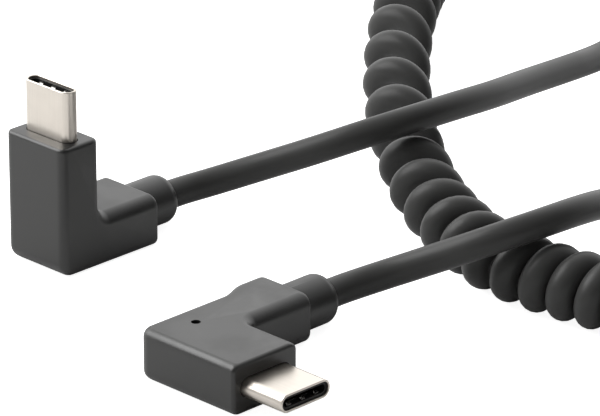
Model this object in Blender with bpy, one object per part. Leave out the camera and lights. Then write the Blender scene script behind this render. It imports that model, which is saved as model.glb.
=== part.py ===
"""Coiled USB-C to USB-C cable with two right-angle plugs.

Plug A stands on its heel with its shell pointing up. Plug B lies flat with its shell pointing
towards -Y. A straight lead leaves each plug towards +X, passes over the coil in a long low hump
and turns back into one end of the coil. The origin is on the floor, on the axis of plug A's shell.
"""

import math
from collections import namedtuple

import bmesh
import bpy
from mathutils import Matrix, Vector

MM = 0.001

# The shell: the metal tube that goes into the device, of the standard outer size.
SHELL_WIDTH = 8.25 * MM
SHELL_HEIGHT = 2.40 * MM
SHELL_WALL = 0.30 * MM
SHELL_REACH = 6.80 * MM
SHELL_SEAT = 2.40 * MM
SHELL_CLEARANCE = 0.10 * MM
RIM_ROUNDING = 0.12 * MM
RIM_STEPS = 3
END_SEGMENTS = 10

# The insulator: the plastic liner of the shell, with the slot for the device's tongue.
LINER_CLEARANCE = 0.05 * MM
LINER_RECESS = 0.30 * MM
LINER_WALL = 0.30 * MM
SLOT_DEPTH = 5.40 * MM

# The contact rows: combs of spring fingers on both long walls of the slot. A comb's margin is
# what stays free at each end of the slot's flat wall, and its fingers share the rest.
CONTACT_COUNT = 12
CONTACT_MARGIN = 0.045 * MM
CONTACT_WIDTH = 0.26 * MM
CONTACT_LENGTH = 2.60 * MM
CONTACT_SETBACK = 1.80 * MM

# The ground springs: combs of three tabs just inside the mouth.
SPRING_COUNT = 3
SPRING_MARGIN = 0.275 * MM
SPRING_WIDTH = 0.90 * MM
SPRING_LENGTH = 0.60 * MM
SPRING_SETBACK = 0.30 * MM

STRIP_THICKNESS = 0.10 * MM
STRIP_CLEARANCE = 0.04 * MM
STRIP_BAR = 0.35 * MM

# The moulded housings. The block carries the shell inside plastic walls of these thicknesses,
# and the leg runs to the strain-relief collar.
SIDE_WALL = 1.275 * MM
PLUG_A_FLAT_WALL = 2.0 * MM
PLUG_A_BLOCK_LENGTH = 17.6 * MM
PLUG_A_LEG_REACH = 13.3 * MM
PLUG_A_LEG_WIDTH = 6.8 * MM
PLUG_B_FLAT_WALL = 2.1 * MM
PLUG_B_BLOCK_LENGTH = 17.85 * MM
PLUG_B_LEG_REACH = 16.6 * MM
PLUG_B_LEG_WIDTH = 9.15 * MM
PLUG_B_BACK_STEP = 1.2 * MM
Elbow = namedtuple("Elbow", "block_width block_length leg_reach leg_width thickness back_step")
PLUG_A = Elbow(
    block_width=SHELL_HEIGHT + 2 * PLUG_A_FLAT_WALL,
    block_length=PLUG_A_BLOCK_LENGTH,
    leg_reach=PLUG_A_LEG_REACH,
    leg_width=PLUG_A_LEG_WIDTH,
    thickness=SHELL_WIDTH + 2 * SIDE_WALL,
    back_step=0.0,
)
PLUG_B = Elbow(
    block_width=SHELL_WIDTH + 2 * SIDE_WALL,
    block_length=PLUG_B_BLOCK_LENGTH,
    leg_reach=PLUG_B_LEG_REACH,
    leg_width=PLUG_B_LEG_WIDTH,
    thickness=SHELL_HEIGHT + 2 * PLUG_B_FLAT_WALL,
    back_step=PLUG_B_BACK_STEP,
)
EDGE_RADIUS = 1.1 * MM
EDGE_STEPS = 4
END_RADIUS = 0.45 * MM
END_STEPS = 2
HEEL_RADIUS = 1.8 * MM
INNER_FILLET = 1.6 * MM
ARC_STEPS = 5
STEP_RUN = 4.2 * MM
STEP_FROM_END = 5.7 * MM
STEP_POINTS = 4
COLLAR_DIAMETER = 6.5 * MM
COLLAR_LENGTH = 6.2 * MM
COLLAR_ROUNDING = 1.4 * MM
COLLAR_ROOT = 1.5 * MM
COLLAR_SEGMENTS = 32
PINHOLE_DIAMETER = 1.2 * MM
PINHOLE_DEPTH = 0.8 * MM
PINHOLE_FROM_BACK = 5.05 * MM
PINHOLE_ASIDE = 0.8 * MM
PINHOLE_SEGMENTS = 16

# Where plug B lies: the axis of its shell, and the back of its leg.
PLUG_B_AXIS_X = -11.5 * MM
PLUG_B_BACK_Y = -32.15 * MM

# The cord, its coil and the points that the route runs through.
CORD_DIAMETER = 3.8 * MM
COIL_DIAMETER = 9.4 * MM
TOUCH_GAP = 0.3 * MM
STRAIGHT_OUT = 2.6 * MM
LEAD_STEP = 6.0 * MM
COIL_STEP = 9.0 * MM
SQUARE_END = 1.0 * MM
LEAD_ROUNDNESS = 2
COIL_ROUNDNESS = 4
CURVE_SAMPLES = 24

# Floor points of the coil's axis in millimetres, from its far end to its near end.
COIL_ROUTE = (
    (112.0, 34.2), (106.2, 34.1), (100.0, 31.4), (93.2, 26.8), (86.4, 21.6), (78.6, 14.9),
    (70.8, 7.8), (63.3, 0.3), (55.3, -8.4), (48.0, -17.4), (42.7, -24.6), (38.4, -31.8),
    (34.6, -39.8), (32.6, -46.6), (32.4, -52.5), (32.9, -58.0), (33.7, -64.0), (35.2, -70.2),
    (38.8, -76.4), (44.0, -80.6), (50.2, -82.0), (56.0, -82.0),
)
# Points of lead A from its collar to the coil's far end, in millimetres. Both leads start at
# the collar's height and end at half a cord's diameter above the floor.
LEAD_A_ROUTE = (
    (25.5, -0.7, 3.5), (28.9, -2.6, 4.3), (32.0, -5.6, 5.7), (34.7, -9.4, 7.5),
    (37.3, -13.2, 9.4), (40.6, -16.0, 10.8), (44.5, -17.9, 11.6), (49.0, -18.7, 11.8),
    (55.8, -18.5, 11.4), (63.5, -16.9, 10.1), (72.0, -14.1, 8.5), (80.2, -11.4, 6.8),
    (88.8, -8.7, 5.1), (98.2, -5.7, 3.3), (107.6, -2.0, 2.1), (116.6, 3.2, 1.9),
    (123.6, 10.0, 1.9), (127.2, 17.4, 1.9), (127.6, 24.2, 1.9), (125.4, 29.8, 1.9),
    (121.1, 33.2, 1.9),
)
# Points of lead B from its collar to the coil's near end, in millimetres.
LEAD_B_ROUTE = (
    (17.1, -37.9, 3.5), (20.0, -39.6, 4.3), (22.3, -42.4, 5.7), (23.9, -45.6, 7.4),
    (25.2, -49.0, 9.2), (27.7, -51.8, 10.7), (31.0, -53.7, 11.6), (35.0, -54.5, 11.9),
    (40.8, -53.9, 11.3), (47.8, -52.0, 9.6), (55.4, -50.4, 7.2), (63.4, -50.8, 4.6),
    (70.6, -54.2, 2.7), (75.0, -60.4, 1.9), (75.6, -68.4, 1.9), (72.6, -75.8, 1.9),
    (67.2, -80.6, 1.9),
)

MATERIALS = {
    "housing_plastic": ((0.055, 0.055, 0.053), 0.45, 0.0),
    "cord_jacket": ((0.040, 0.040, 0.038), 0.50, 0.0),
    "shell_nickel": ((0.72, 0.69, 0.64), 0.28, 1.0),
    "liner_plastic": ((0.012, 0.012, 0.012), 0.50, 0.0),
    "contact_gold": ((0.80, 0.60, 0.28), 0.30, 1.0),
    "spring_steel": ((0.62, 0.61, 0.58), 0.30, 1.0),
}


def clear_scene():
    """Empty the scene, so that it holds only the cable."""
    for item in list(bpy.data.objects):
        bpy.data.objects.remove(item, do_unlink=True)


def make_materials():
    """One Principled material for each finish of the cable."""
    made = {}
    for name, (colour, roughness, metallic) in MATERIALS.items():
        material = bpy.data.materials.new(name)
        material.use_nodes = True
        shader = material.node_tree.nodes["Principled BSDF"]
        shader.inputs["Base Color"].default_value = (*colour, 1.0)
        shader.inputs["Roughness"].default_value = roughness
        shader.inputs["Metallic"].default_value = metallic
        made[name] = material
    return made


def add_object(name, data, material, parent=None):
    """Link one named object that carries one material."""
    piece = bpy.data.objects.new(name, data)
    data.materials.append(material)
    piece.parent = parent
    bpy.context.collection.objects.link(piece)
    return piece


def finish_mesh(name, mesh_tool):
    """Turn the faces outwards, shade the round ones smooth and return the mesh."""
    bmesh.ops.recalc_face_normals(mesh_tool, faces=mesh_tool.faces)
    mesh = bpy.data.meshes.new(name)
    mesh_tool.to_mesh(mesh)
    mesh_tool.free()
    mesh.shade_smooth()
    mesh.set_sharp_from_angle(angle=math.radians(35.0))
    return mesh


def skin(rings, closed=False):
    """A closed surface through rings of equal count, with flat ends or joined end to end."""
    tool = bmesh.new()
    loops = [[tool.verts.new(point) for point in ring] for ring in rings]
    count = len(loops[0])
    pairs = list(zip(loops, loops[1:]))
    if closed:
        pairs.append((loops[-1], loops[0]))
    else:
        tool.faces.new(loops[0])
        tool.faces.new(list(reversed(loops[-1])))
    for low, high in pairs:
        for index in range(count):
            after = (index + 1) % count
            tool.faces.new((low[index], low[after], high[after], high[index]))
    return tool


def prism(outline, place, low, high):
    """An outline swept straight from low to high; place maps (x, y, depth) to a point."""
    rings = [[place(x, y, depth) for x, y in outline] for depth in (low, high)]
    return skin(rings)


def arc(centre, radius, start, end, steps):
    """Points of an arc in the plane, from start to end in degrees."""
    points = []
    for index in range(steps + 1):
        angle = math.radians(start + (end - start) * index / steps)
        points.append((centre[0] + radius * math.cos(angle), centre[1] + radius * math.sin(angle)))
    return points


def obround(width, height):
    """A slot shape with round ends, centred on the origin."""
    radius = height / 2
    half = (width - height) / 2
    right = arc((half, 0.0), radius, -90.0, 90.0, END_SEGMENTS)
    left = arc((-half, 0.0), radius, 90.0, 270.0, END_SEGMENTS)
    return right + left


def wide_across(wide, along, thin):
    """Plug A's section: its wide side lies across the elbow."""
    return Vector((thin, along, wide))


def wide_in_plane(wide, along, thin):
    """Plug B's section: its wide side lies in the elbow's plane."""
    return Vector((wide, along, thin))


def section_ring(width, height, along, side):
    """One obround ring at a place along the plug."""
    return [side(wide, along, thin) for wide, thin in obround(width, height)]


def shell_mesh(shoulder, side):
    """The seamless tube, with a rounded rim at its mouth."""
    back = shoulder - SHELL_SEAT
    front = shoulder + SHELL_REACH
    profile = [(0.0, back)]
    profile += [
        (RIM_ROUNDING + x, front - RIM_ROUNDING + y)
        for x, y in arc((0.0, 0.0), RIM_ROUNDING, 180.0, 90.0, RIM_STEPS)
    ]
    profile += [
        (SHELL_WALL - RIM_ROUNDING + x, front - RIM_ROUNDING + y)
        for x, y in arc((0.0, 0.0), RIM_ROUNDING, 90.0, 0.0, RIM_STEPS)
    ]
    profile.append((SHELL_WALL, back))
    rings = [
        section_ring(SHELL_WIDTH - 2 * inset, SHELL_HEIGHT - 2 * inset, along, side)
        for inset, along in profile
    ]
    return finish_mesh("shell", skin(rings, closed=True))


def liner_size():
    """Outer width and height of the insulator inside the shell."""
    inset = SHELL_WALL + LINER_CLEARANCE
    return SHELL_WIDTH - 2 * inset, SHELL_HEIGHT - 2 * inset


def slot_size():
    """Width and height of the slot in the insulator."""
    width, height = liner_size()
    return width - 2 * LINER_WALL, height - 2 * LINER_WALL


def liner_mesh(shoulder, side):
    """The insulator, closed at its back and open in front."""
    back = shoulder - SHELL_SEAT
    front = shoulder + SHELL_REACH - LINER_RECESS
    rings = [
        section_ring(*liner_size(), back, side),
        section_ring(*liner_size(), front, side),
        section_ring(*slot_size(), front, side),
        section_ring(*slot_size(), front - SLOT_DEPTH, side),
    ]
    return finish_mesh("insulator", skin(rings))


def comb_outline(count, margin, width, length, tip):
    """A bar with teeth that point to the mouth, as (across, along) points."""
    root = tip - length
    slot_width, slot_height = slot_size()
    half = (slot_width - slot_height) / 2 - margin
    pitch = (2 * half - width) / (count - 1)
    points = [(-half, root - STRIP_BAR), (half, root - STRIP_BAR)]
    for index in reversed(range(count)):
        middle = (index - (count - 1) / 2) * pitch
        points += [(middle + width / 2, root), (middle + width / 2, tip)]
        points += [(middle - width / 2, tip), (middle - width / 2, root)]
    return points


def comb_mesh(outline, side, sign):
    """A thin stamped comb on one long wall of the slot."""
    outer = sign * (slot_size()[1] / 2 - STRIP_CLEARANCE)
    inner = outer - sign * STRIP_THICKNESS
    return finish_mesh("comb", prism(outline, side, inner, outer))


def elbow_outline(elbow, inset, end_inset):
    """The housing's L from its heel anticlockwise, as (towards the cord, towards the mouth).

    The long sides are drawn in by inset, and the shoulder and the leg's end by end_inset.
    """
    left = -elbow.block_width / 2
    right = elbow.block_width / 2
    heel = (left + HEEL_RADIUS, elbow.back_step + HEEL_RADIUS)
    points = arc(heel, HEEL_RADIUS - inset, 180.0, 270.0, ARC_STEPS)
    if elbow.back_step > 0.0:
        for index in range(STEP_POINTS + 1):
            share = index / STEP_POINTS
            ease = share * share * (3.0 - 2.0 * share)
            across = elbow.leg_reach - STEP_FROM_END + STEP_RUN * (share - 0.5)
            points.append((across, inset + elbow.back_step * (1.0 - ease)))
    leg_end = elbow.leg_reach - end_inset - END_RADIUS
    shoulder = elbow.block_length - end_inset - END_RADIUS
    leg_top = elbow.leg_width - inset - END_RADIUS
    points += arc((leg_end, inset + END_RADIUS), END_RADIUS, 270.0, 360.0, END_STEPS)
    points += arc((leg_end, leg_top), END_RADIUS, 0.0, 90.0, END_STEPS)
    notch = (right + INNER_FILLET, elbow.leg_width + INNER_FILLET)
    points += arc(notch, INNER_FILLET + inset, 270.0, 180.0, ARC_STEPS)
    points += arc((right - inset - END_RADIUS, shoulder), END_RADIUS, 0.0, 90.0, END_STEPS)
    points += arc((left + inset + END_RADIUS, shoulder), END_RADIUS, 90.0, 180.0, END_STEPS)
    return points


def end_inset_at(depth):
    """How far the two end faces draw in at a depth below the flat side."""
    rise = max(0.0, END_RADIUS - depth)
    return END_RADIUS - math.sqrt(END_RADIUS * END_RADIUS - rise * rise)


def elbow_mesh(elbow):
    """The moulded L with softly rounded long edges, and tighter ones round its two end faces."""
    half = elbow.thickness / 2
    edge = arc((EDGE_RADIUS, EDGE_RADIUS), EDGE_RADIUS, 270.0, 180.0, EDGE_STEPS)
    levels = [(inset, depth, depth - half) for inset, depth in edge]
    levels += [(inset, depth, half - depth) for inset, depth in reversed(edge)]
    rings = []
    for inset, depth, height in levels:
        outline = elbow_outline(elbow, inset, end_inset_at(depth))
        rings.append([Vector((x, y, height)) for x, y in outline])
    return finish_mesh("housing", skin(rings))


def collar_centre(elbow):
    """How far the collar's axis lies in front of the leg's back."""
    return (elbow.back_step + elbow.leg_width) / 2


def collar_mesh(elbow):
    """The round strain-relief collar, from inside the leg to its rounded end."""
    end = elbow.leg_reach + COLLAR_LENGTH
    radius = COLLAR_DIAMETER / 2
    profile = [(elbow.leg_reach - COLLAR_ROOT, radius)]
    profile += [
        (end - COLLAR_ROUNDING + x, radius - COLLAR_ROUNDING + y)
        for x, y in arc((0.0, 0.0), COLLAR_ROUNDING, 90.0, 0.0, ARC_STEPS)
    ]
    rings = []
    for along, size in profile:
        circle = arc((collar_centre(elbow), 0.0), size, 0.0, 360.0, COLLAR_SEGMENTS)[:-1]
        rings.append([Vector((along, y, z)) for y, z in circle])
    return finish_mesh("collar", skin(rings))


def socket_mesh(elbow, side):
    """The pocket in the shoulder that the shell sits in."""
    width = SHELL_WIDTH + 2 * SHELL_CLEARANCE
    height = SHELL_HEIGHT + 2 * SHELL_CLEARANCE
    bottom = elbow.block_length - SHELL_SEAT - SHELL_CLEARANCE
    top = elbow.block_length + SHELL_SEAT
    rings = [section_ring(width, height, along, side) for along in (bottom, top)]
    return finish_mesh("socket", skin(rings))


def pinhole_mesh(elbow):
    """The small blind hole in plug B's top face."""
    top = elbow.thickness / 2
    centre = (PINHOLE_ASIDE, PINHOLE_FROM_BACK)
    rings = []
    for depth in (-PINHOLE_DEPTH, PINHOLE_DEPTH):
        circle = arc(centre, PINHOLE_DIAMETER / 2, 0.0, 360.0, PINHOLE_SEGMENTS)[:-1]
        rings.append([Vector((x, y, -top - depth)) for x, y in circle])
    return finish_mesh("pinhole", skin(rings))


def apply_tool(piece, name, mesh, material, operation):
    """Join or cut with a guide body that stays hidden."""
    guide = add_object(name, mesh, material, piece.parent)
    guide.hide_render = True
    guide.display_type = "WIRE"
    change = piece.modifiers.new(name, "BOOLEAN")
    change.operation = operation
    change.object = guide
    change.solver = "EXACT"


def make_housing(name, elbow, side, parent, materials):
    """One moulded housing with its collar and the socket for the shell."""
    plastic = materials["housing_plastic"]
    housing = add_object(name + "_housing", elbow_mesh(elbow), plastic, parent)
    apply_tool(housing, name + "_collar_guide", collar_mesh(elbow), plastic, "UNION")
    apply_tool(housing, name + "_socket_guide", socket_mesh(elbow, side), plastic, "DIFFERENCE")
    return housing


def make_connector(name, elbow, side, parent, materials):
    """The shell with its insulator, contact rows and ground springs."""
    shoulder = elbow.block_length
    front = shoulder + SHELL_REACH - LINER_RECESS
    add_object(name + "_shell", shell_mesh(shoulder, side), materials["shell_nickel"], parent)
    add_object(name + "_insulator", liner_mesh(shoulder, side), materials["liner_plastic"], parent)
    contacts = comb_outline(
        CONTACT_COUNT, CONTACT_MARGIN, CONTACT_WIDTH, CONTACT_LENGTH, front - CONTACT_SETBACK
    )
    springs = comb_outline(
        SPRING_COUNT, SPRING_MARGIN, SPRING_WIDTH, SPRING_LENGTH, front - SPRING_SETBACK
    )
    for word, sign in (("near", -1.0), ("far", 1.0)):
        row = comb_mesh(contacts, side, sign)
        add_object(f"{name}_contacts_{word}", row, materials["contact_gold"], parent)
        tabs = comb_mesh(springs, side, sign)
        add_object(f"{name}_spring_{word}", tabs, materials["spring_steel"], parent)


def make_plug(name, elbow, side, placement, materials):
    """One whole plug under an empty at the foot of its shell's axis."""
    foot = bpy.data.objects.new(name + "_foot", None)
    foot.matrix_world = placement
    bpy.context.collection.objects.link(foot)
    housing = make_housing(name, elbow, side, foot, materials)
    make_connector(name, elbow, side, foot, materials)
    return housing


def axes(towards_cord, towards_mouth, place):
    """The placement of a plug, from where its leg and its mouth point."""
    across = towards_cord.cross(towards_mouth)
    turn = Matrix((towards_cord, towards_mouth, across)).transposed()
    return Matrix.Translation(place) @ turn.to_4x4()


def spline_point(before, start, end, after, share):
    """A point of the cubic B-spline between start and end, which bends as gently as a cord."""
    rest = 1.0 - share
    return (
        before * rest ** 3
        + start * (3.0 * share ** 3 - 6.0 * share ** 2 + 4.0)
        + end * (3.0 * rest ** 3 - 6.0 * rest ** 2 + 4.0)
        + after * share ** 3
    ) / 6.0


def smooth_route(points, step, lowest):
    """Points every step along the smooth curve through the route's own points, none too low."""
    padded = [2.0 * points[0] - points[1], *points, 2.0 * points[-1] - points[-2]]
    fine = [points[0]]
    for index in range(len(points) - 1):
        for sample in range(1, CURVE_SAMPLES + 1):
            fine.append(spline_point(*padded[index:index + 4], sample / CURVE_SAMPLES))
    lengths = [0.0]
    for one, other in zip(fine, fine[1:]):
        lengths.append(lengths[-1] + (other - one).length)
    count = max(2, round(lengths[-1] / step))
    route = []
    place = 0
    for index in range(count + 1):
        target = lengths[-1] * index / count
        while place < len(fine) - 2 and lengths[place + 1] < target:
            place += 1
        share = (target - lengths[place]) / (lengths[place + 1] - lengths[place])
        point = fine[place].lerp(fine[place + 1], share)
        point.z = max(point.z, lowest)
        route.append(point)
    return route


def make_tube(name, route, step, diameter, resolution, material):
    """A round tube along a route, with flat ends that stay square to what they meet."""
    points = smooth_route(route, step, diameter / 2)
    points.insert(1, points[0] + (route[1] - route[0]).normalized() * SQUARE_END)
    points.insert(-1, points[-1] + (route[-2] - route[-1]).normalized() * SQUARE_END)
    curve = bpy.data.curves.new(name, "CURVE")
    curve.dimensions = "3D"
    curve.bevel_depth = diameter / 2
    curve.bevel_resolution = resolution
    curve.use_fill_caps = True
    line = curve.splines.new("POLY")
    line.points.add(len(points) - 1)
    for target, point in zip(line.points, points):
        target.co = (*point, 1.0)
    return add_object(name, curve, material)


def coil_axis():
    """The coil's axis, half its diameter above the floor."""
    return [Vector((x * MM, y * MM, COIL_DIAMETER / 2)) for x, y in COIL_ROUTE]


def lead_points(elbow, placement, route, coil_end, coil_next):
    """A lead's own points, from its collar to the end face of the coil."""
    middle = collar_centre(elbow)
    start = elbow.leg_reach + COLLAR_LENGTH + TOUCH_GAP
    points = [placement @ Vector((start + out, middle, 0.0)) for out in (0.0, STRAIGHT_OUT)]
    points += [Vector(point) * MM for point in route]
    outwards = (coil_end - coil_next).normalized()
    last = coil_end + outwards * TOUCH_GAP
    last.z = CORD_DIAMETER / 2
    points += [last + outwards * CORD_DIAMETER, last]
    return points


def main():
    clear_scene()
    materials = make_materials()
    upright = axes(Vector((1, 0, 0)), Vector((0, 0, 1)), Vector((0, 0, 0)))
    flat_place = Vector((PLUG_B_AXIS_X, PLUG_B_BACK_Y, PLUG_B.thickness / 2))
    flat = axes(Vector((1, 0, 0)), Vector((0, -1, 0)), flat_place)
    make_plug("plug_a", PLUG_A, wide_across, upright, materials)
    housing = make_plug("plug_b", PLUG_B, wide_in_plane, flat, materials)
    plastic = materials["housing_plastic"]
    apply_tool(housing, "plug_b_pinhole_guide", pinhole_mesh(PLUG_B), plastic, "DIFFERENCE")

    axis = coil_axis()
    jacket = materials["cord_jacket"]
    far_lead = lead_points(PLUG_A, upright, LEAD_A_ROUTE, axis[0], axis[1])
    near_lead = lead_points(PLUG_B, flat, LEAD_B_ROUTE, axis[-1], axis[-2])
    make_tube("coil", axis, COIL_STEP, COIL_DIAMETER, COIL_ROUNDNESS, jacket)
    make_tube("lead_a", far_lead, LEAD_STEP, CORD_DIAMETER, LEAD_ROUNDNESS, jacket)
    make_tube("lead_b", near_lead, LEAD_STEP, CORD_DIAMETER, LEAD_ROUNDNESS, jacket)


main()
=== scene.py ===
"""Studio scene for a coiled USB-C cable with two right-angle plugs.

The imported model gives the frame. The cord becomes one real curly cord, the moulded housings,
shells and mouths get their fine shapes and finishes, and a pale studio stands round them.
"""

import math
from collections import namedtuple

import bmesh
import bpy
from mathutils import Matrix, Vector


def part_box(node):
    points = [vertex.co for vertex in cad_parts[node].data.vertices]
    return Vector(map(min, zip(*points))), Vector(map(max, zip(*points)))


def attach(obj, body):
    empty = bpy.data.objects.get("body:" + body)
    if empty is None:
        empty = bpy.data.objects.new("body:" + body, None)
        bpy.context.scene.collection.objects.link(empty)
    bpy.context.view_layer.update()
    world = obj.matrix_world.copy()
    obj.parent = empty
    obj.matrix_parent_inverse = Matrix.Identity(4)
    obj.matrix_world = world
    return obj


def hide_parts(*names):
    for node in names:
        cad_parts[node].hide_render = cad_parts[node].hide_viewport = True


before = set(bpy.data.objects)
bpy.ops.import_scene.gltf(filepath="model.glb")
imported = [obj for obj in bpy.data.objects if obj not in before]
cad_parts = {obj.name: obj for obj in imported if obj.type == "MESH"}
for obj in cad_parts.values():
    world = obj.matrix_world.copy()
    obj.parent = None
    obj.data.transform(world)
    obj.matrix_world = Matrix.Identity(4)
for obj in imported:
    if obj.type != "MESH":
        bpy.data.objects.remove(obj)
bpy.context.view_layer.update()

bl_info = {
    "name": "Coiled USB-C cable",
    "version": (1, 0, 0),
    "blender": (4, 5, 0),
    "location": "3D View > Sidebar > Cable",
    "description": "Dresses the packed cable: housings, shells, mouths, cord and studio",
    "category": "Object",
}

MM = 0.001

# How finely the round stretches are drawn.
ARC_STEPS = 12
EDGE_STEPS = 10
END_STEPS = 5
STEP_POINTS = 10
COLLAR_SEGMENTS = 72
PINHOLE_SEGMENTS = 32
MOUTH_SEGMENTS = 26
RIM_STEPS = 6
LEAF_STEPS = 12
SHARP_ANGLE = math.radians(35.0)

# The cord's route. The coil's axis runs over these floor points, from its far end to its near
# end, in millimetres.
COIL_ROUTE = (
    (112.0, 34.2), (106.2, 34.1), (100.0, 31.4), (93.2, 26.8), (86.4, 21.6), (78.6, 14.9),
    (70.8, 7.8), (63.3, 0.3), (55.3, -8.4), (48.0, -17.4), (42.7, -24.6), (38.4, -31.8),
    (34.6, -39.8), (32.6, -46.6), (32.4, -52.5), (32.9, -58.0), (33.7, -64.0), (35.2, -70.2),
    (38.8, -76.4), (44.0, -80.6), (50.2, -82.0), (56.0, -82.0),
)
# Lead A from inside its collar to the coil's far end, in millimetres.
LEAD_A_ROUTE = (
    (18.6, 0.0, 3.4), (22.4, 0.0, 3.4),
    (25.5, -0.7, 3.5), (28.9, -2.6, 4.3), (32.0, -5.6, 5.7), (34.7, -9.4, 7.5),
    (37.3, -13.2, 9.4), (40.6, -16.0, 10.8), (44.5, -17.9, 11.6), (49.0, -18.7, 11.8),
    (55.8, -18.5, 11.4), (63.5, -16.9, 10.1), (72.0, -14.1, 8.5), (80.2, -11.4, 6.8),
    (88.8, -8.7, 5.1), (98.2, -5.7, 3.3), (107.6, -2.0, 2.1), (116.6, 3.2, 1.9),
    (123.6, 10.0, 1.9), (127.2, 17.4, 1.9), (127.6, 24.2, 1.9), (125.4, 29.8, 1.9),
    (121.1, 33.2, 1.9), (116.1, 34.3, 1.9), (112.3, 34.2, 1.9),
)
# Lead B from inside its collar to the coil's near end, in millimetres.
LEAD_B_ROUTE = (
    (10.4, -37.3, 3.3), (14.2, -37.3, 3.3),
    (17.1, -37.9, 3.5), (20.0, -39.6, 4.3), (22.3, -42.4, 5.7), (23.9, -45.6, 7.4),
    (25.2, -49.0, 9.2), (27.7, -51.8, 10.7), (31.0, -53.7, 11.6), (35.0, -54.5, 11.9),
    (40.8, -53.9, 11.3), (47.8, -52.0, 9.6), (55.4, -50.4, 7.2), (63.4, -50.8, 4.6),
    (70.6, -54.2, 2.7), (75.0, -60.4, 1.9), (75.6, -68.4, 1.9), (72.6, -75.8, 1.9),
    (67.2, -80.6, 1.9), (60.1, -82.0, 1.9), (56.3, -82.0, 1.9),
)
# How finely the route is followed, and how the turns begin and end.
ROUTE_SAMPLES = 32
LEAD_STEP = 1.2 * MM
AXIS_STEP = 0.1 * MM
BEND_REACH = 2.0 * MM
TURN_RAMP = 13.0 * MM
TURN_STEP = math.radians(7.0)
LEAST_INNER_SHARE = 0.3
JACKET_ROUNDNESS = 8

# How the shared effects and the materials mix their noises.
DRIFT_IN_HEIGHT = 0.35
DRIFT_RANGE = (0.3, 0.7)
# The pointiness and patch ranges shape the raised-edge mask: rubbed wear, also used as a painted
# edge highlight.
POINTINESS_RANGE = (0.505, 0.56)
PATCH_RANGE = (0.35, 0.65)
LEAST_PATCH = 0.25
STREAK_SQUEEZE = 0.02
STREAK_RANGE = (0.35, 0.65)
WORN_BY_TONE = 0.35
POLISH_BY_WEAR = 0.12
DULL_BY_TONE = 0.3
PLASTIC_BUMP = 0.5
METAL_BUMP = 0.4

# The studio, in metres, but for the camera's sensor, which is in millimetres. Each light's range
# is a span of the cosine between a direction and the way to that light.
FLOOR_REACH = 4.0
BACK_RANGE = (-0.1, 0.8)
LEFT_RANGE = (0.0, 1.0)
TOP_RANGE = (0.3, 1.0)
KEY_OFFSET = (-0.20, 0.26, 0.30)
KEY_EDGE = 0.35
CLIP_START = 0.05
SENSOR_WIDTH = 36.0

Plug = namedtuple(
    "Plug",
    "name placement block_width block_length leg_reach leg_width thickness back_step "
    "wide_in_plane shell_width shell_height shell_front",
)


def size(name, description, millimetres):
    """A length that a user may change, with its default in millimetres."""
    return bpy.props.FloatProperty(
        name=name, description=description, default=millimetres * MM, min=0.0,
        precision=5, unit="LENGTH")


def share(name, description, default, highest=1.0):
    """A plain factor that a user may change."""
    return bpy.props.FloatProperty(
        name=name, description=description, default=default, min=0.0, max=highest,
        subtype="FACTOR")


def colour(name, description, default):
    """A colour that a user may change."""
    return bpy.props.FloatVectorProperty(
        name=name, description=description, default=default, size=3, min=0.0, max=1.0,
        subtype="COLOR")


class HousingSettings(bpy.types.PropertyGroup):
    """The moulded housings with their collars."""
    leg_width_a: size("Leg height, plug A", "From the floor to the top of plug A's leg", 6.8)
    leg_width_b: size("Leg width, plug B", "From the back to the front of plug B's leg", 9.15)
    back_step_b: size("Back step, plug B", "How far plug B's block stands in from its leg", 1.2)
    step_run: size("Step run", "Length of the S-curve of the back step", 4.2)
    step_from_end: size("Step from end", "From the leg's end to the middle of the step", 5.7)
    edge_radius: size("Edge radius", "Rounding of the long edges", 1.1)
    leg_edge_radius: size("Leg edge radius", "Rounding of the leg's edge in the notch", 1.7)
    end_radius: size("End radius", "Rounding round the shoulder and the leg's end", 0.5)
    heel_radius: size("Heel radius", "Rounding of the outer corner", 1.9)
    notch_radius: size("Notch radius", "Fillet between block and leg", 1.8)
    collar_diameter: size("Collar diameter", "Diameter of the strain relief", 6.5)
    collar_length: size("Collar length", "From the leg's end to the collar's end", 6.2)
    collar_rounding: size("Collar rounding", "Rounding of the collar's end", 1.5)
    collar_root: size("Collar root", "How far the collar reaches into the leg", 1.5)
    pinhole_diameter: size("Pinhole diameter", "The small hole in plug B's top face", 1.2)
    pinhole_depth: size("Pinhole depth", "Depth of the small hole", 0.8)
    pinhole_from_back: size("Pinhole from back", "From plug B's back to the hole", 5.05)
    pinhole_aside: size("Pinhole aside", "From the shell's axis to the hole", 0.8)
    colour: colour("Plastic colour", "Colour of the moulded plastic", (0.016, 0.016, 0.0152))
    # Lighter colour for random tone and rubbed edges; on the raised edges it also paints a
    # highlight.
    rub_and_highlight_colour: colour("Rubbed and edge highlight colour", "Colour where hands rub it, also painted as an edge highlight", (0.030, 0.030, 0.0285))


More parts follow.
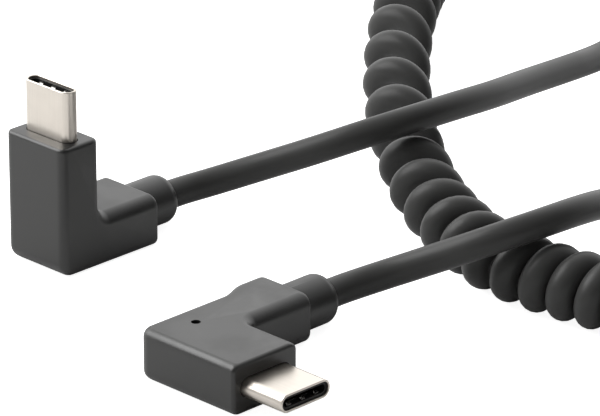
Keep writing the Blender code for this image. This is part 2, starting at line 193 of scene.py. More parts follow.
class MouthSettings(bpy.types.PropertyGroup):
    """The shells and what is inside their mouths."""
    shell_wall: size("Shell wall", "Thickness of the metal tube", 0.30)
    shell_seat: size("Shell seat", "How deep the shell sits in the housing", 2.40)
    shell_clearance: size("Shell clearance", "Gap between shell and socket", 0.10)
    rim_rounding: size("Rim rounding", "Rounding of the shell's rim", 0.12)
    liner_clearance: size("Liner clearance", "Gap between shell and liner", 0.05)
    liner_recess: size("Liner recess", "From the shell's rim to the liner", 0.30)
    liner_wall: size("Liner wall", "Thickness of the liner", 0.30)
    slot_depth: size("Slot depth", "Depth of the liner's slot", 5.40)
    contact_count: bpy.props.IntProperty(
        name="Contacts", description="Contact fingers in a row", default=12, min=2)
    contact_margin: size("Contact margin", "Free stretch beside the contact row", 0.045)
    contact_width: size("Contact width", "Width of one contact finger", 0.26)
    contact_length: size("Contact length", "Length of one contact finger", 2.60)
    contact_setback: size("Contact setback", "From the liner's front to the fingers", 1.80)
    contact_bow: size("Contact bow", "How far a finger bows into the slot", 0.12)
    spring_count: bpy.props.IntProperty(
        name="Springs", description="Ground spring tabs in a row", default=3, min=2)
    spring_margin: size("Spring margin", "Free stretch beside the spring row", 0.275)
    spring_width: size("Spring width", "Width of one spring tab", 0.70)
    spring_length: size("Spring length", "Length of one spring tab", 0.80)
    spring_setback: size("Spring setback", "From the liner's front to the tabs", 0.20)
    spring_bow: size("Spring bow", "How far a tab bows into the slot", 0.16)
    strip_thickness: size("Strip thickness", "Thickness of the spring strips", 0.08)
    strip_clearance: size("Strip clearance", "Gap between a strip and the liner", 0.04)
    strip_bar: size("Strip bar", "Width of the bar that joins the fingers", 0.35)
    nickel: colour("Nickel", "Colour of the shell", (0.70, 0.65, 0.585))
    nickel_shade: colour("Nickel shade", "Colour of the duller bands", (0.60, 0.555, 0.50))
    liner: colour("Liner", "Colour of the plastic liner", (0.010, 0.010, 0.010))
    gold: colour("Contact gold", "Colour of the contacts", (0.80, 0.60, 0.28))
    gold_shade: colour("Gold shade", "Colour of their duller spots", (0.62, 0.44, 0.19))
    steel: colour("Spring steel", "Colour of the ground springs", (0.56, 0.55, 0.53))
    steel_shade: colour("Steel shade", "Colour of their duller spots", (0.42, 0.41, 0.40))


class CordSettings(bpy.types.PropertyGroup):
    """The curly cord's sizes and colours."""
    diameter: size("Cord diameter", "Outer diameter of the jacket", 3.8)
    coil_diameter: size("Coil diameter", "Outer diameter of the curly stretch", 9.4)
    slack: share("Slack", "Gap between two turns, as a share of the touching pitch", 0.02)
    opened: share("Opened", "Extra pitch of the pulled stretch, as a share", 1.6, 4.0)
    opened_from: size("Opened from", "Where the pulled stretch begins, from the far end", 20.0)
    opened_rise: size("Opened rise", "Length over which the pitch opens", 14.0)
    opened_to: size("Opened to", "Where the pulled stretch ends, from the far end", 130.0)
    opened_fall: size("Opened fall", "Length over which the pitch closes again", 70.0)
    colour: colour("Jacket colour", "Colour of the jacket", (0.047, 0.047, 0.0458))
    # Lighter colour for random tone and rubbed spots; on the raised edges it also paints a
    # highlight.
    rub_and_highlight_colour: colour("Rubbed and edge highlight colour", "Colour where the jacket is rubbed, also painted as an edge highlight", (0.062, 0.062, 0.0605))


class StageSettings(bpy.types.PropertyGroup):
    """The floor, the light and the camera."""
    floor_colour: colour("Floor colour", "Colour of the pale floor", (0.76, 0.76, 0.76))
    floor_white: share("Floor white", "Glow that lifts the table to white in the picture", 0.90, 4.0)
    front_light: share("Front light", "Brightness of the room on the camera's side", 0.05, 9.0)
    back_light: share("Back light", "Brightness of the room behind the cable", 1.5, 9.0)
    left_light: share("Left light", "Brightness added on the left of the picture", 0.4, 9.0)
    top_light: share("Top light", "Brightness straight above", 0.3, 9.0)
    key_power: bpy.props.FloatProperty(
        name="Key power", description="Power of the soft box on the left", default=1.9,
        min=0.0, unit="POWER")
    target: bpy.props.FloatVectorProperty(
        name="Target", description="The floor point that the camera looks at",
        default=(34.9 * MM, -9.4 * MM, 0.0), size=3, subtype="TRANSLATION")
    elevation: bpy.props.FloatProperty(
        name="Camera elevation", description="Height of the camera above the horizon",
        default=math.radians(22.5), subtype="ANGLE")
    azimuth: bpy.props.FloatProperty(
        name="Camera azimuth", description="Turn of the camera round the cable",
        default=math.radians(-45.0), subtype="ANGLE")
    distance: bpy.props.FloatProperty(
        name="Camera distance", description="From the camera to the point it looks at",
        default=655.07 * MM, unit="LENGTH")
    lens: bpy.props.FloatProperty(
        name="Lens", description="Focal length in millimetres", default=300.0)


def arc(centre, radius, start, end, steps):
    """Points of an arc in the plane, from start to end in degrees."""
    points = []
    for index in range(steps + 1):
        angle = math.radians(start + (end - start) * index / steps)
        points.append((centre[0] + radius * math.cos(angle), centre[1] + radius * math.sin(angle)))
    return points


def circle(centre, radius, segments):
    """A closed circle's points."""
    return arc(centre, radius, 0.0, 360.0, segments)[:-1]


def ease(low, high, value):
    """0 below low, 1 above high, and a smooth step between them."""
    part = min(1.0, max(0.0, (value - low) / (high - low)))
    return part * part * (3.0 - 2.0 * part)


def skin(tool, rings, closed=False):
    """Add a closed surface through rings of equal count, with flat ends or joined end to end."""
    loops = [[tool.verts.new(point) for point in ring] for ring in rings]
    count = len(loops[0])
    pairs = list(zip(loops, loops[1:]))
    if closed:
        pairs.append((loops[-1], loops[0]))
    else:
        tool.faces.new(loops[0])
        tool.faces.new(list(reversed(loops[-1])))
    for low, high in pairs:
        for index in range(count):
            after = (index + 1) % count
            tool.faces.new((low[index], low[after], high[after], high[index]))


def add_piece(name, bodies, closed=False):
    """One new object whose mesh is made of closed bodies, each given by its rings."""
    tool = bmesh.new()
    for rings in bodies:
        skin(tool, rings, closed)
    bmesh.ops.recalc_face_normals(tool, faces=tool.faces)
    mesh = bpy.data.meshes.new(name)
    tool.to_mesh(mesh)
    tool.free()
    piece = bpy.data.objects.new(name, mesh)
    bpy.context.collection.objects.link(piece)
    return piece


def shade(piece):
    """Smooth the round stretches, keep the corners and let the large faces stay flat."""
    piece.data.shade_smooth()
    piece.data.set_sharp_from_angle(angle=SHARP_ANGLE)
    weighted = piece.modifiers.new("even_shading", "WEIGHTED_NORMAL")
    weighted.mode = "FACE_AREA"
    weighted.keep_sharp = True


def carve(piece, operation, guide):
    """Join or cut a piece with a guide body, which is then thrown away."""
    change = piece.modifiers.new(guide.name, "BOOLEAN")
    change.operation = operation
    change.solver = "EXACT"
    change.object = guide
    bpy.context.view_layer.update()
    graph = bpy.context.evaluated_depsgraph_get()
    mesh = bpy.data.meshes.new_from_object(piece.evaluated_get(graph))
    piece.modifiers.clear()
    piece.data = mesh
    bpy.data.objects.remove(guide, do_unlink=True)


def settle(piece, plug, material, node):
    """Put a finished piece of a plug where its node lies, and let it stand for that node."""
    if not piece.data.polygons:
        raise RuntimeError(piece.name + " came out empty")
    shade(piece)
    piece.data.materials.clear()
    piece.data.materials.append(material)
    piece.matrix_world = plug.placement
    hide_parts(node)
    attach(piece, "root")


def measure_plug(name, mouth, leg_width, back_step, collar_length):
    """A plug's place and sizes, read from the boxes of its nodes."""
    cord = Vector((1.0, 0.0, 0.0))
    across = cord.cross(mouth)
    low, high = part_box(name + "_housing")
    shell_low, shell_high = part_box(name + "_shell")
    centre = (shell_low + shell_high) / 2
    back = min(low.dot(mouth), high.dot(mouth))
    shoulder = max(low.dot(mouth), high.dot(mouth))
    front = max(shell_low.dot(mouth), shell_high.dot(mouth))
    foot = centre + mouth * (back - centre.dot(mouth))
    turn = Matrix((cord, mouth, across)).transposed().to_4x4()
    in_plane = abs((shell_high - shell_low).dot(cord))
    out_of_plane = abs((shell_high - shell_low).dot(across))
    return Plug(
        name=name,
        placement=Matrix.Translation(foot) @ turn,
        block_width=2 * (centre.x - low.x),
        block_length=shoulder - back,
        leg_reach=high.x - centre.x - collar_length,
        leg_width=leg_width,
        thickness=abs((high - low).dot(across)),
        back_step=back_step,
        wide_in_plane=in_plane > out_of_plane,
        shell_width=max(in_plane, out_of_plane),
        shell_height=min(in_plane, out_of_plane),
        shell_front=front - back,
    )


def both_plugs(scene):
    """Plug A, which stands with its mouth up, and plug B, which lies with its mouth forward."""
    housing = scene.cable_housing
    length = housing.collar_length
    return (
        measure_plug("plug_a", Vector((0.0, 0.0, 1.0)), housing.leg_width_a, 0.0, length),
        measure_plug("plug_b", Vector((0.0, -1.0, 0.0)), housing.leg_width_b,
                     housing.back_step_b, length),
    )


def draw_in(radius, depth):
    """How far a face draws in at a depth below the flat side, for an edge of this radius."""
    rise = max(0.0, radius - depth)
    return radius - math.sqrt(radius * radius - rise * rise)


def elbow_outline(plug, housing, depth):
    """The housing's L at a depth, from its heel anticlockwise, as (to the cord, to the mouth)."""
    left = -plug.block_width / 2
    right = plug.block_width / 2
    side = draw_in(housing.edge_radius, depth)
    leg = draw_in(housing.leg_edge_radius, depth)
    end = draw_in(housing.end_radius, depth)
    corner = housing.end_radius
    heel = (left + housing.heel_radius, plug.back_step + housing.heel_radius)
    points = arc(heel, housing.heel_radius - side, 180.0, 270.0, ARC_STEPS)
    if plug.back_step > 0.0:
        for index in range(STEP_POINTS + 1):
            part = index / STEP_POINTS
            drop = plug.back_step * (1.0 - ease(0.0, 1.0, part))
            across = plug.leg_reach - housing.step_from_end + housing.step_run * (part - 0.5)
            points.append((across, side + drop))
    leg_end = plug.leg_reach - end - corner
    points += arc((leg_end, side + corner), corner, 270.0, 360.0, END_STEPS)
    points += arc((leg_end, plug.leg_width - leg - corner), corner, 0.0, 90.0, END_STEPS)
    notch = housing.notch_radius
    for index in range(ARC_STEPS + 1):
        part = index / ARC_STEPS
        reach = notch + leg + (side - leg) * part
        angle = math.radians(270.0 - 90.0 * part)
        points.append((right + notch + reach * math.cos(angle),
                       plug.leg_width + notch + reach * math.sin(angle)))
    shoulder = plug.block_length - end - corner
    points += arc((right - side - corner, shoulder), corner, 0.0, 90.0, END_STEPS)
    points += arc((left + side + corner, shoulder), corner, 90.0, 180.0, END_STEPS)
    return points


def elbow_rings(plug, housing):
    """Outlines of the moulded L from one flat side to the other."""
    half = plug.thickness / 2
    deepest = max(housing.edge_radius, housing.leg_edge_radius)
    depths = []
    for index in range(EDGE_STEPS + 1):
        depths.append(deepest * (1.0 - math.cos(math.pi / 2 * index / EDGE_STEPS)))
    levels = [(depth, depth - half) for depth in depths]
    levels += [(depth, half - depth) for depth in reversed(depths)]
    return [
        [Vector((x, y, height)) for x, y in elbow_outline(plug, housing, depth)]
        for depth, height in levels
    ]


def collar_rings(plug, housing):
    """The round strain relief, from inside the leg to its rounded end."""
    end = plug.leg_reach + housing.collar_length
    radius = housing.collar_diameter / 2
    rounding = housing.collar_rounding
    profile = [(plug.leg_reach - housing.collar_root, radius)]
    profile += arc((end - rounding, radius - rounding), rounding, 90.0, 0.0, ARC_STEPS)
    centre = ((plug.back_step + plug.leg_width) / 2, 0.0)
    return [
        [Vector((along, y, z)) for y, z in circle(centre, reach, COLLAR_SEGMENTS)]
        for along, reach in profile
    ]


def section_ring(plug, inset, along):
    """One obround ring of the shell's section, drawn in by inset."""
    radius = plug.shell_height / 2 - inset
    half = (plug.shell_width - plug.shell_height) / 2
    points = arc((half, 0.0), radius, -90.0, 90.0, MOUTH_SEGMENTS)
    points += arc((-half, 0.0), radius, 90.0, 270.0, MOUTH_SEGMENTS)
    if plug.wide_in_plane:
        return [Vector((wide, along, thin)) for wide, thin in points]
    return [Vector((thin, along, wide)) for wide, thin in points]


def make_housing(plug, housing, mouth, material):
    """One moulded housing with its collar, socket and, on plug B, its pinhole."""
    piece = add_piece(plug.name + "_moulding", [elbow_rings(plug, housing)])
    carve(piece, "UNION", add_piece("collar", [collar_rings(plug, housing)]))
    bottom = plug.block_length - mouth.shell_seat - mouth.shell_clearance
    top = plug.block_length + mouth.shell_seat
    socket = [section_ring(plug, -mouth.shell_clearance, along) for along in (bottom, top)]
    carve(piece, "DIFFERENCE", add_piece("socket", [socket]))
    if plug.back_step > 0.0:
        centre = (housing.pinhole_aside, housing.pinhole_from_back)
        hole = circle(centre, housing.pinhole_diameter / 2, PINHOLE_SEGMENTS)
        face = -plug.thickness / 2
        rings = [
            [Vector((x, y, face + depth)) for x, y in hole]
            for depth in (-housing.pinhole_depth, housing.pinhole_depth)
        ]
        carve(piece, "DIFFERENCE", add_piece("pinhole", [rings]))
    settle(piece, plug, material, plug.name + "_housing")


def make_shell(plug, mouth, material):
    """The seamless metal tube, with a rounded rim at its mouth."""
    back = plug.block_length - mouth.shell_seat
    rounding = mouth.rim_rounding
    rim = plug.shell_front - rounding
    profile = [(0.0, back)]
    profile += arc((rounding, rim), rounding, 180.0, 90.0, RIM_STEPS)
    profile += arc((mouth.shell_wall - rounding, rim), rounding, 90.0, 0.0, RIM_STEPS)
    profile.append((mouth.shell_wall, back))
    rings = [section_ring(plug, inset, along) for inset, along in profile]
    piece = add_piece(plug.name + "_tube", [rings], closed=True)
    settle(piece, plug, material, plug.name + "_shell")


def make_liner(plug, mouth, material):
    """The plastic liner, closed at its back, with the slot for the device's tongue."""
    outer = mouth.shell_wall + mouth.liner_clearance
    inner = outer + mouth.liner_wall
    front = plug.shell_front - mouth.liner_recess
    profile = (
        (outer, plug.block_length - mouth.shell_seat), (outer, front),
        (inner, front), (inner, front - mouth.slot_depth),
    )
    rings = [section_ring(plug, inset, along) for inset, along in profile]
    piece = add_piece(plug.name + "_liner", [rings])
    settle(piece, plug, material, plug.name + "_insulator")


def slot_inset(mouth):
    """From the shell's outside to the wall of the slot."""
    return mouth.shell_wall + mouth.liner_clearance + mouth.liner_wall


def leaf_rings(plug, mouth, sign, middle, width, root, tip, bow):
    """One spring leaf on a long wall of the slot, bowed inwards between its root and its tip."""
    wall = plug.shell_height / 2 - slot_inset(mouth) - mouth.strip_clearance
    rings = []
    for index in range(LEAF_STEPS + 1):
        part = index / LEAF_STEPS
        along = root + (tip - root) * part
        outer = wall - bow * math.sin(math.pi * part) ** 2
        inner = outer - mouth.strip_thickness
        half = width / 2
        corners = ((middle - half, outer), (middle + half, outer),
                   (middle + half, inner), (middle - half, inner))
        if plug.wide_in_plane:
            rings.append([Vector((wide, along, sign * thin)) for wide, thin in corners])
        else:
            rings.append([Vector((sign * thin, along, wide)) for wide, thin in corners])
    return rings


def make_comb(plug, mouth, sign, word, comb, material):
    """A row of spring leaves that share a bar, on one long wall of the slot."""
    kind, count, margin, width, length, setback, bow = comb
    half = (plug.shell_width - plug.shell_height) / 2 - margin
    pitch = (2 * half - width) / (count - 1)
    tip = plug.shell_front - mouth.liner_recess - setback
    root = tip - length
    if plug.shell_height <= 2 * slot_inset(mouth):
        raise RuntimeError("the liner leaves no slot")
    bodies = [leaf_rings(plug, mouth, sign, 0.0, 2 * half, root - mouth.strip_bar, root, 0.0)]
    for index in range(count):
        middle = (index - (count - 1) / 2) * pitch
        bodies.append(leaf_rings(plug, mouth, sign, middle, width, root, tip, bow))
    piece = add_piece(f"{plug.name}_{kind}_row_{word}", bodies)
    settle(piece, plug, material, f"{plug.name}_{kind}_{word}")


def spline_point(before, start, end, after, along):
    """A point of the cubic B-spline between start and end."""
    rest = 1.0 - along
    return (
        before * rest ** 3
        + start * (3.0 * along ** 3 - 6.0 * along ** 2 + 4.0)
        + end * (3.0 * rest ** 3 - 6.0 * rest ** 2 + 4.0)
        + after * along ** 3
    ) / 6.0


def smooth_route(points, step, lowest):
    """Points about every step along the smooth curve through the route, none too low."""
    padded = [2.0 * points[0] - points[1], *points, 2.0 * points[-1] - points[-2]]
    fine = [points[0]]
    for index in range(len(points) - 1):
        for sample in range(1, ROUTE_SAMPLES + 1):
            fine.append(spline_point(*padded[index:index + 4], sample / ROUTE_SAMPLES))
    lengths = [0.0]
    for one, other in zip(fine, fine[1:]):
        lengths.append(lengths[-1] + (other - one).length)
    count = max(2, round(lengths[-1] / step))
    route = []
    place = 0
    for index in range(count + 1):
        target = lengths[-1] * index / count
        while place < len(fine) - 2 and lengths[place + 1] < target:
            place += 1
        part = (target - lengths[place]) / (lengths[place + 1] - lengths[place])
        point = fine[place].lerp(fine[place + 1], part)
        point.z = max(point.z, lowest)
        route.append(point)
    return route


def coil_radius(cord):
    """From the coil's axis to the middle of the cord."""
    return (cord.coil_diameter - cord.diameter) / 2


def turn_rate(cord, along, total, bend):
    """How fast the cord turns round the coil's axis there, in radians a metre."""
    radius = coil_radius(cord)
    lean = cord.diameter / (2.0 * math.pi * radius)
    touching = cord.diameter / math.sqrt(1.0 - lean * lean)
    opened = ease(cord.opened_from, cord.opened_from + cord.opened_rise, along)
    opened *= 1.0 - ease(cord.opened_to - cord.opened_fall, cord.opened_to, along)
    pitch = touching * (1.0 + cord.slack) * (1.0 + cord.opened * opened)
    pitch /= max(LEAST_INNER_SHARE, 1.0 - radius * bend)
    ends = ease(0.0, TURN_RAMP, along) * ease(0.0, TURN_RAMP, total - along)
    return ends * 2.0 * math.pi / pitch


def helix_points(cord):
    """The left-handed helix round the coil's axis, from its far end to its near end."""
    radius = coil_radius(cord)
    floor_points = [Vector((x * MM, y * MM, cord.coil_diameter / 2)) for x, y in COIL_ROUTE]
    axis = smooth_route(floor_points, AXIS_STEP, 0.0)
    last = len(axis) - 1
    step = sum((other - one).length for one, other in zip(axis, axis[1:])) / last
    reach = round(BEND_REACH / step)
    angles = [0.0]
    for index in range(1, last + 1):
        back = axis[max(0, index - 2 * reach)]
        here = axis[max(reach, min(last - reach, index))]
        ahead = axis[min(last, index + reach)]
        bend = (here - back).angle(ahead - here, 0.0) / max(step, (ahead - back).length / 2)
        angles.append(angles[-1] + step * turn_rate(cord, index * step, last * step, bend))
    turns = round(angles[-1] / (2.0 * math.pi))
    if turns < 1:
        raise RuntimeError("the coil's axis is too short for one turn")
    whole = turns * 2.0 * math.pi / angles[-1]
    up = Vector((0.0, 0.0, 1.0))
    points = []
    drawn = -TURN_STEP
    for index in range(last + 1):
        angle = angles[index] * whole
        if angle - drawn < TURN_STEP and index % round(LEAD_STEP / step) and index < last:
            continue
        drawn = angle
        ahead = axis[min(last, index + 1)] - axis[max(0, index - 1)]
        side = ahead.cross(up).normalized()
        around = angle - math.pi / 2
        points.append(axis[index] + radius * (math.cos(around) * side + math.sin(around) * up))
    return points


def cord_points(cord):
    """The whole cord from plug A to plug B, without points that all but coincide."""
    low = cord.diameter / 2
    lead_a = smooth_route([Vector(point) * MM for point in LEAD_A_ROUTE], LEAD_STEP, low)
    lead_b = smooth_route([Vector(point) * MM for point in LEAD_B_ROUTE], LEAD_STEP, low)
    points = lead_a[:-1]
    for point in helix_points(cord) + list(reversed(lead_b[:-1])):
        if (point - points[-1]).length > LEAD_STEP / 4:
            points.append(point)
    return points


def make_cord(cord, material):
    """The curly cord with both leads, as one round tube."""
    points = cord_points(cord)
    curve = bpy.data.curves.new("curly_cord", "CURVE")
    curve.dimensions = "3D"
    curve.bevel_depth = cord.diameter / 2
    curve.bevel_resolution = JACKET_ROUNDNESS
    curve.use_fill_caps = True
    line = curve.splines.new("POLY")
    line.points.add(len(points) - 1)
    for target, point in zip(line.points, points):
        target.co = (*point, 1.0)
    line.use_smooth = True
    curve.materials.append(material)
    piece = bpy.data.objects.new("curly_cord", curve)
    bpy.context.collection.objects.link(piece)
    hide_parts("lead_a", "coil", "lead_b")
    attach(piece, "root")


def new_node(tree, kind, **settings):
    """Add a node and set its own options."""
    made = tree.nodes.new(kind)
    for name, value in settings.items():
        setattr(made, name, value)
    return made


def maths(tree, operation, first, second):
    """A Math node on two sockets or numbers; returns its output."""
    made = new_node(tree, "ShaderNodeMath", operation=operation)
    for socket, value in zip(made.inputs, (first, second)):
        if isinstance(value, (int, float)):
            socket.default_value = value
        else:
            tree.links.new(value, socket)
    return made.outputs["Value"]


def spread(tree, value, low, high, from_low=0.0, from_high=1.0):
    """Map a socket's range smoothly to another; returns the output."""
    made = new_node(tree, "ShaderNodeMapRange", interpolation_type="SMOOTHSTEP")
    tree.links.new(value, made.inputs["Value"])
    for name, number in (("From Min", from_low), ("From Max", from_high),
                         ("To Min", low), ("To Max", high)):
        made.inputs[name].default_value = number
    return made.outputs["Result"]


def noise(tree, vector, scale, detail=3.0):
    """A noise texture on a vector; returns its factor."""
    made = new_node(tree, "ShaderNodeTexNoise")
    made.inputs["Detail"].default_value = detail
    tree.links.new(vector, made.inputs["Vector"])
    if isinstance(scale, (int, float)):
        made.inputs["Scale"].default_value = scale
    else:
        tree.links.new(scale, made.inputs["Scale"])
    return made.outputs["Fac"]


def new_group(name, inputs, outputs):
    """An empty shader node group with float sockets; inputs carry their defaults."""
    group = bpy.data.node_groups.new(name, "ShaderNodeTree")
    for socket, default in inputs.items():
        made = group.interface.new_socket(socket, in_out="INPUT", socket_type="NodeSocketFloat")
        made.default_value = default
    for socket in outputs:
        group.interface.new_socket(socket, in_out="OUTPUT", socket_type="NodeSocketFloat")
    return group, new_node(group, "NodeGroupInput"), new_node(group, "NodeGroupOutput")


def object_vector(tree):
    """The point on the piece, in its own axes."""
    return new_node(tree, "ShaderNodeTexCoord").outputs["Object"]


def moulded_grain():
    """Fine moulded texture: a height for bump and a tone that drifts over the surface."""
    name = "moulded_grain"
    if name in bpy.data.node_groups:
        return bpy.data.node_groups[name]
    group, entry, leave = new_group(name, {"Grain scale": 5000.0, "Drift scale": 160.0},
                                    ("Height", "Tone"))
    point = object_vector(group)
    grain = noise(group, point, entry.outputs["Grain scale"], 2.0)
    drift = noise(group, point, entry.outputs["Drift scale"], 3.0)
    low = maths(group, "MULTIPLY", drift, DRIFT_IN_HEIGHT)
    group.links.new(maths(group, "ADD", grain, low), leave.inputs["Height"])
    group.links.new(spread(group, drift, 0.0, 1.0, *DRIFT_RANGE), leave.inputs["Tone"])
    return group


def rubbed_edges():
    """Where handling has polished the raised edges, broken up by noise; the same mask also paints a
    highlight on those edges.
    """
    name = "rubbed_edges"
    if name in bpy.data.node_groups:
        return bpy.data.node_groups[name]
    group, entry, leave = new_group(name, {"Amount": 0.5, "Patch scale": 320.0}, ("Mask",))
    raised = new_node(group, "ShaderNodeNewGeometry").outputs["Pointiness"]
    edge = spread(group, raised, 0.0, 1.0, *POINTINESS_RANGE)
    patches = spread(group, noise(group, object_vector(group), entry.outputs["Patch scale"]),
                     LEAST_PATCH, 1.0, *PATCH_RANGE)
    broken = maths(group, "MULTIPLY", edge, patches)
    group.links.new(maths(group, "MULTIPLY", broken, entry.outputs["Amount"]),
                    leave.inputs["Mask"])
    return group


def drawn_streaks():
    """Hair lines along the piece's own Y axis, as drawing and plating leave them."""
    name = "drawn_streaks"
    if name in bpy.data.node_groups:
        return bpy.data.node_groups[name]
    group, entry, leave = new_group(name, {"Line scale": 9000.0, "Cloud scale": 400.0},
                                    ("Height", "Tone"))
    point = object_vector(group)
    squeeze = new_node(group, "ShaderNodeVectorMath", operation="MULTIPLY")
    squeeze.inputs[1].default_value = (1.0, STREAK_SQUEEZE, 1.0)
    group.links.new(point, squeeze.inputs[0])
    lines = noise(group, squeeze.outputs["Vector"], entry.outputs["Line scale"], 2.0)
    clouds = noise(group, point, entry.outputs["Cloud scale"], 2.0)
    group.links.new(lines, leave.inputs["Height"])
    mixed = maths(group, "ADD", maths(group, "MULTIPLY", lines, 0.5),
                  maths(group, "MULTIPLY", clouds, 0.5))
    group.links.new(spread(group, mixed, 0.0, 1.0, *STREAK_RANGE), leave.inputs["Tone"])
    return group


def place_group(tree, group, **values):
    """Place a node group in a material with its own values."""
    made = new_node(tree, "ShaderNodeGroup", node_tree=group)
    for name, value in values.items():
        made.inputs[name.replace("_", " ").capitalize()].default_value = value
    return made


def new_material(name, roughness=0.5, metallic=0.0):
    """A material with its Principled shader; constants are set on the shader itself."""
    material = bpy.data.materials.new(name)
    material.use_nodes = True
    shader = material.node_tree.nodes["Principled BSDF"]
    shader.inputs["Roughness"].default_value = roughness
    shader.inputs["Metallic"].default_value = metallic
    return material, material.node_tree, shader


def tint(tree, shader, base, other, amount):
    """Blend the base colour towards another one by a mask."""
    # A Mix node's inputs 6 and 7 and its output 2 are its colour sockets.
    mix = new_node(tree, "ShaderNodeMix", data_type="RGBA")
    mix.inputs[6].default_value = (*base, 1.0)
    mix.inputs[7].default_value = (*other, 1.0)
    tree.links.new(amount, mix.inputs[0])
    tree.links.new(mix.outputs[2], shader.inputs["Base Color"])


def emboss(tree, shader, height, depth, strength):
    """Bump from a height of the given depth."""
    bump = new_node(tree, "ShaderNodeBump")
    bump.inputs["Distance"].default_value = depth
    bump.inputs["Strength"].default_value = strength
    tree.links.new(height, bump.inputs["Height"])
    tree.links.new(bump.outputs["Normal"], shader.inputs["Normal"])


def satin_plastic(name, base, rub_and_highlight_colour, grain, drift, depth, smooth, rough, edge_rub_and_highlight, gloss):
    """Dark moulded plastic: fine grain, drifting sheen and rubbed edges, which are also lightened as
    a painted edge highlight.
    """
    material, tree, shader = new_material(name)
    shader.inputs["Specular IOR Level"].default_value = gloss
    texture = place_group(tree, moulded_grain(), grain_scale=grain, drift_scale=drift)
    wear_and_highlight = place_group(tree, rubbed_edges(), amount=edge_rub_and_highlight)
    tone = maths(tree, "MULTIPLY", texture.outputs["Tone"], WORN_BY_TONE)
    # Random tone and the raised-edge mask lighten the colour: real rub wear, and on the edges also a
    # painted highlight.
    tint(tree, shader, base, rub_and_highlight_colour, maths(tree, "MAXIMUM", tone, wear_and_highlight.outputs["Mask"]))
    sheen = spread(tree, texture.outputs["Tone"], smooth, rough)
    polish = maths(tree, "MULTIPLY", wear_and_highlight.outputs["Mask"], POLISH_BY_WEAR)
    tree.links.new(maths(tree, "SUBTRACT", sheen, polish), shader.inputs["Roughness"])
    emboss(tree, shader, texture.outputs["Height"], depth, PLASTIC_BUMP)
    return material


def bright_metal(name, base, dull, smooth, rough, line, depth):
    """Plated metal with hair lines along it."""
    material, tree, shader = new_material(name, metallic=1.0)
    streaks = place_group(tree, drawn_streaks(), line_scale=line)
    tone = streaks.outputs["Tone"]
    tint(tree, shader, base, dull, maths(tree, "MULTIPLY", tone, DULL_BY_TONE))
    tree.links.new(spread(tree, tone, smooth, rough), shader.inputs["Roughness"])
    emboss(tree, shader, streaks.outputs["Height"], depth, METAL_BUMP)
    return material


class CABLE_OT_housings(bpy.types.Operator):
    """Make both moulded housings with their collars"""
    bl_idname = "cable.housings"
    bl_label = "Housings"

    def execute(self, context):
        housing = context.scene.cable_housing
        plastic = satin_plastic("satin_housing", housing.colour, housing.rub_and_highlight_colour, grain=5200.0,
                                drift=150.0, depth=0.008 * MM, smooth=0.36, rough=0.44, edge_rub_and_highlight=0.5,
                                gloss=0.62)
        for plug in both_plugs(context.scene):
            make_housing(plug, housing, context.scene.cable_mouth, plastic)
        return {"FINISHED"}


class CABLE_OT_shells(bpy.types.Operator):
    """Make both metal shells"""
    bl_idname = "cable.shells"
    bl_label = "Shells"

    def execute(self, context):
        mouth = context.scene.cable_mouth
        nickel = bright_metal("drawn_nickel", mouth.nickel, mouth.nickel_shade,
                              smooth=0.28, rough=0.31, line=7000.0, depth=0.0001 * MM)
        for plug in both_plugs(context.scene):
            make_shell(plug, mouth, nickel)
        return {"FINISHED"}


class CABLE_OT_liners(bpy.types.Operator):
    """Make the plastic liners inside the shells"""
    bl_idname = "cable.liners"
    bl_label = "Liners"

    def execute(self, context):
        mouth = context.scene.cable_mouth
        black = satin_plastic("liner_black", mouth.liner, mouth.liner, grain=9000.0,
                              drift=500.0, depth=0.006 * MM, smooth=0.40, rough=0.55, edge_rub_and_highlight=0.0,
                              gloss=0.30)
        for plug in both_plugs(context.scene):
            make_liner(plug, mouth, black)
        return {"FINISHED"}


class CABLE_OT_springs(bpy.types.Operator):
    """Make the contact rows and the ground springs"""
    bl_idname = "cable.springs"
    bl_label = "Contacts and springs"

    def execute(self, context):
        mouth = context.scene.cable_mouth
        gold = bright_metal("contact_gold", mouth.gold, mouth.gold_shade, smooth=0.22, rough=0.34,
                            line=16000.0, depth=0.002 * MM)
        steel = bright_metal("spring_steel", mouth.steel, mouth.steel_shade, smooth=0.18,
                             rough=0.30, line=16000.0, depth=0.002 * MM)
        contacts = ("contacts", mouth.contact_count, mouth.contact_margin, mouth.contact_width,
                    mouth.contact_length, mouth.contact_setback, mouth.contact_bow)
        springs = ("spring", mouth.spring_count, mouth.spring_margin, mouth.spring_width,
                   mouth.spring_length, mouth.spring_setback, mouth.spring_bow)
        for plug in both_plugs(context.scene):
            for word, sign in (("near", -1.0), ("far", 1.0)):
                make_comb(plug, mouth, sign, word, contacts, gold)
                make_comb(plug, mouth, sign, word, springs, steel)
        return {"FINISHED"}


class CABLE_OT_cord(bpy.types.Operator):
    """Make the curly cord with both leads"""
    bl_idname = "cable.cord"
    bl_label = "Curly cord"

    def execute(self, context):
        cord = context.scene.cable_cord
        jacket = satin_plastic("satin_jacket", cord.colour, cord.rub_and_highlight_colour, grain=3800.0,
                               drift=110.0, depth=0.010 * MM, smooth=0.34, rough=0.42, edge_rub_and_highlight=0.3,
                               gloss=0.18)
        make_cord(cord, jacket)
        return {"FINISHED"}


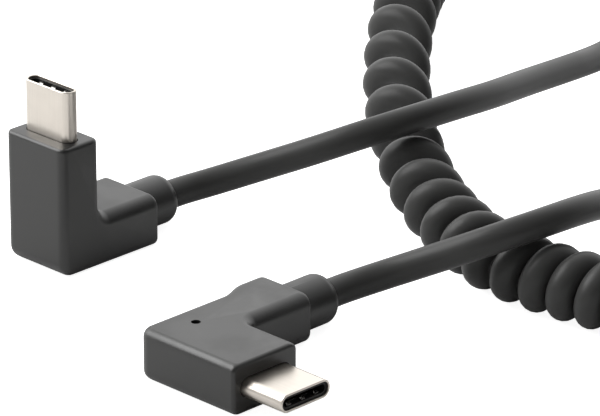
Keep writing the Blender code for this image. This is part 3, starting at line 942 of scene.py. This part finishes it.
def make_floor(stage):
    """The pale table. A glow that only the camera sees lifts it to white."""
    mesh = bpy.data.meshes.new("floor")
    corners = [
        (x * FLOOR_REACH, y * FLOOR_REACH, 0.0) for x, y in ((-1, -1), (1, -1), (1, 1), (-1, 1))
    ]
    mesh.from_pydata(corners, [], [(0, 1, 2, 3)])
    floor = bpy.data.objects.new("floor", mesh)
    bpy.context.collection.objects.link(floor)
    material, tree, shader = new_material("pale_table", roughness=0.9)
    shader.inputs["Base Color"].default_value = (*stage.floor_colour, 1.0)
    shader.inputs["Specular IOR Level"].default_value = 0.0
    shader.inputs["Emission Color"].default_value = (1.0, 1.0, 1.0, 1.0)
    seen = new_node(tree, "ShaderNodeLightPath").outputs["Is Camera Ray"]
    glow = maths(tree, "MULTIPLY", seen, stage.floor_white)
    tree.links.new(glow, shader.inputs["Emission Strength"])
    mesh.materials.append(material)


def make_room(stage):
    """Plain soft light all round: dim on the camera's side, bright behind, left and above."""
    world = bpy.data.worlds.new("studio")
    world.use_nodes = True
    tree = world.node_tree
    direction = new_node(tree, "ShaderNodeTexCoord").outputs["Generated"]
    away = Vector((-math.sin(stage.azimuth), math.cos(stage.azimuth), 0.0))
    left = Vector((-away.y, away.x, 0.0))
    up = Vector((0.0, 0.0, 1.0))
    strength = stage.front_light
    for towards, light, span in (
            (away, stage.back_light, BACK_RANGE), (left, stage.left_light, LEFT_RANGE),
            (up, stage.top_light, TOP_RANGE)):
        dot = new_node(tree, "ShaderNodeVectorMath", operation="DOT_PRODUCT")
        dot.inputs[1].default_value = towards
        tree.links.new(direction, dot.inputs[0])
        part = spread(tree, dot.outputs["Value"], 0.0, light, *span)
        strength = maths(tree, "ADD", strength, part)
    background = tree.nodes["Background"]
    background.inputs["Color"].default_value = (1.0, 1.0, 1.0, 1.0)
    tree.links.new(strength, background.inputs["Strength"])
    bpy.context.scene.world = world


def make_soft_box(name, place, aim, edge, power):
    """A square soft box that points at a place."""
    data = bpy.data.lights.new(name, "AREA")
    data.shape = "SQUARE"
    data.size = edge
    data.energy = power
    light = bpy.data.objects.new(name, data)
    light.location = place
    light.rotation_euler = (aim - place).to_track_quat("-Z", "Y").to_euler()
    bpy.context.collection.objects.link(light)


def make_camera(stage):
    """The camera at the picture's angle, with a long lens."""
    target = Vector(stage.target)
    flat = math.cos(stage.elevation)
    back = Vector((math.sin(stage.azimuth) * flat, -math.cos(stage.azimuth) * flat,
                   math.sin(stage.elevation)))
    data = bpy.data.cameras.new("camera")
    data.lens = stage.lens
    data.sensor_width = SENSOR_WIDTH
    data.clip_start = CLIP_START
    camera = bpy.data.objects.new("camera", data)
    camera.location = target + back * stage.distance
    camera.rotation_euler = (-back).to_track_quat("-Z", "Y").to_euler()
    bpy.context.collection.objects.link(camera)
    bpy.context.scene.camera = camera


class CABLE_OT_stage(bpy.types.Operator):
    """Make the pale floor, the soft light and the camera"""
    bl_idname = "cable.stage"
    bl_label = "Studio"

    def execute(self, context):
        stage = context.scene.cable_stage
        make_floor(stage)
        make_room(stage)
        target = Vector(stage.target)
        make_soft_box("key_box", target + Vector(KEY_OFFSET), target, KEY_EDGE, stage.key_power)
        make_camera(stage)
        context.scene.view_settings.view_transform = "Standard"
        return {"FINISHED"}


class VIEW3D_PT_cable(bpy.types.Panel):
    """Lists the steps that dress the cable, with their settings"""
    bl_idname = "VIEW3D_PT_cable"
    bl_label = "Coiled cable"
    bl_space_type = "VIEW_3D"
    bl_region_type = "UI"
    bl_category = "Cable"

    def draw(self, context):
        for settings, operators in STEPS:
            group = getattr(context.scene, settings)
            box = self.layout.box()
            for operator in operators:
                box.operator(operator.bl_idname, text=operator.bl_label)
            for name in type(group).__annotations__:
                box.prop(group, name)


GROUPS = {
    "cable_cord": CordSettings,
    "cable_housing": HousingSettings,
    "cable_mouth": MouthSettings,
    "cable_stage": StageSettings,
}
STEPS = (
    ("cable_cord", (CABLE_OT_cord,)),
    ("cable_housing", (CABLE_OT_housings,)),
    ("cable_mouth", (CABLE_OT_shells, CABLE_OT_liners, CABLE_OT_springs)),
    ("cable_stage", (CABLE_OT_stage,)),
)
CLASSES = (
    CordSettings, HousingSettings, MouthSettings, StageSettings, CABLE_OT_cord,
    CABLE_OT_housings, CABLE_OT_shells, CABLE_OT_liners, CABLE_OT_springs, CABLE_OT_stage,
    VIEW3D_PT_cable,
)


def register():
    """Register the classes and the scene's settings."""
    for item in CLASSES:
        bpy.utils.register_class(item)
    for name, group in GROUPS.items():
        setattr(bpy.types.Scene, name, bpy.props.PointerProperty(type=group))


def unregister():
    """Take the classes and the settings away again."""
    for name in GROUPS:
        delattr(bpy.types.Scene, name)
    for item in reversed(CLASSES):
        bpy.utils.unregister_class(item)


def main():
    """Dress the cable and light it."""
    register()
    bpy.ops.cable.stage()
    bpy.ops.cable.housings()
    bpy.ops.cable.shells()
    bpy.ops.cable.liners()
    bpy.ops.cable.springs()
    bpy.ops.cable.cord()


if __name__ == "__main__":
    main()
